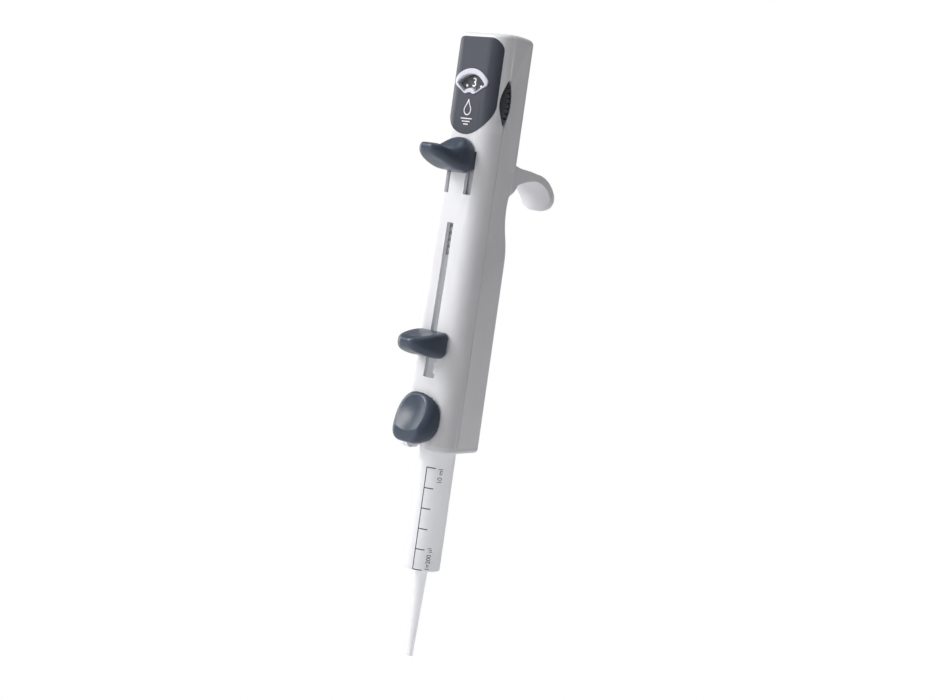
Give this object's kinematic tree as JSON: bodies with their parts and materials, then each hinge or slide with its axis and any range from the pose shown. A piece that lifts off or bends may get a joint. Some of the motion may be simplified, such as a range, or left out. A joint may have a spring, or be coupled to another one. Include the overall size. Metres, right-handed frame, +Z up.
{
  "type": "repeating pipette",
  "caption": "Hand-held manual repeating pipette with casing, finger hook, dial window, dispensing, filling and locking levers, and a translucent graduated dispenser tip.",
  "frame": {"origin": "middle of the dispenser tip's outlet, on the tip's axis", "axes": "+Z up along the tip and the casing; -Y is the front with the levers and the dial window; +Y is the back with the finger hook; +X is to the right of a person facing the front"},
  "size_m": [0.0378, 0.082, 0.3033],
  "materials": {
    "casing_plastic": "fine satin, off-white",
    "socket_plastic": "moulded, off-white",
    "lever_plastic": "fine satin, slate blue-grey",
    "label_film": "satin film, dark slate",
    "bezel_plastic": "light, slightly lavender",
    "lens_clear": "clear window",
    "plate_plastic": "smooth white plate",
    "dial_plastic": "dark grey, knurled rim",
    "slide_plastic": "light grey acetal",
    "spring_steel": "spring wire and strip",
    "pin_steel": "turned pins",
    "tip_polypropylene": "translucent milky polypropylene",
    "piston_polyethylene": "white, smooth",
    "seal_rubber": "pale soft lip"
  },
  "bodies": {
    "casing": {"front_shell": "casing_plastic", "rear_shell": "casing_plastic", "label_panel": "label_film", "window_bezel": "bezel_plastic", "window_lens": "lens_clear", "volume_table_plate": "plate_plastic", "bottom_cap": "casing_plastic", "tip_socket": "socket_plastic", "track_stop": "socket_plastic", "guide_frame": "socket_plastic", "spring_post": "pin_steel", "holding_leaf": "spring_steel", "dial_axle": "pin_steel", "detent_spring": "spring_steel", "lock_lever_pin": "pin_steel", "return_spring": "spring_steel", "tip_barrel": "tip_polypropylene"},
    "selector": {"selector_dial": "dial_plastic"},
    "shield": {"step_shield": "slide_plastic"},
    "dispenser": {"dispense_lever": "lever_plastic", "dispense_slide": "slide_plastic", "pawl_pin": "pin_steel"},
    "pawl": {"drive_pawl": "pin_steel"},
    "filler": {"fill_lever": "lever_plastic", "rack": "slide_plastic", "piston_gripper": "slide_plastic", "tip_piston": "piston_polyethylene", "piston_seal": "seal_rubber"},
    "lock": {"lock_lever": "lever_plastic"}
  },
  "joints": [
    {"name": "dial_turn", "type": "hinge", "parent": "casing", "child": "selector", "pos_m": [0, -0.004, 0.2709], "axis": [0, -1, 0], "range_deg": [-144, 144]},
    {"name": "shield_slide", "type": "slide", "parent": "casing", "child": "shield", "axis": [0, 0, -1], "range_m": [-0.00202, 0.00202]},
    {"name": "dispense_press", "type": "slide", "parent": "casing", "child": "dispenser", "axis": [0, 0, -1], "range_m": [0, 0.011], "stiffness_N_per_m": 250, "springref_m": -0.01, "deforming": ["return_spring"]},
    {"name": "pawl_pivot", "type": "hinge", "parent": "dispenser", "child": "pawl", "pos_m": [0.0028, -0.003, 0.2265], "axis": [-1, 0, 0], "range_deg": [0, 8], "stiffness_Nm_per_rad": 0.003, "springref_deg": -11.46},
    {"name": "fill_slide", "type": "slide", "parent": "casing", "child": "filler", "axis": [0, 0, 1], "range_m": [0, 0.052]},
    {"name": "lock_swing", "type": "hinge", "parent": "casing", "child": "lock", "pos_m": [0, -0.0136, 0.126], "axis": [-1, 0, 0], "range_deg": [0, 25]}
  ],
  "couplings": [
    {"joint": "shield_slide", "follows": "dial_turn", "m_per_rad": 0.00079577}
  ]
}
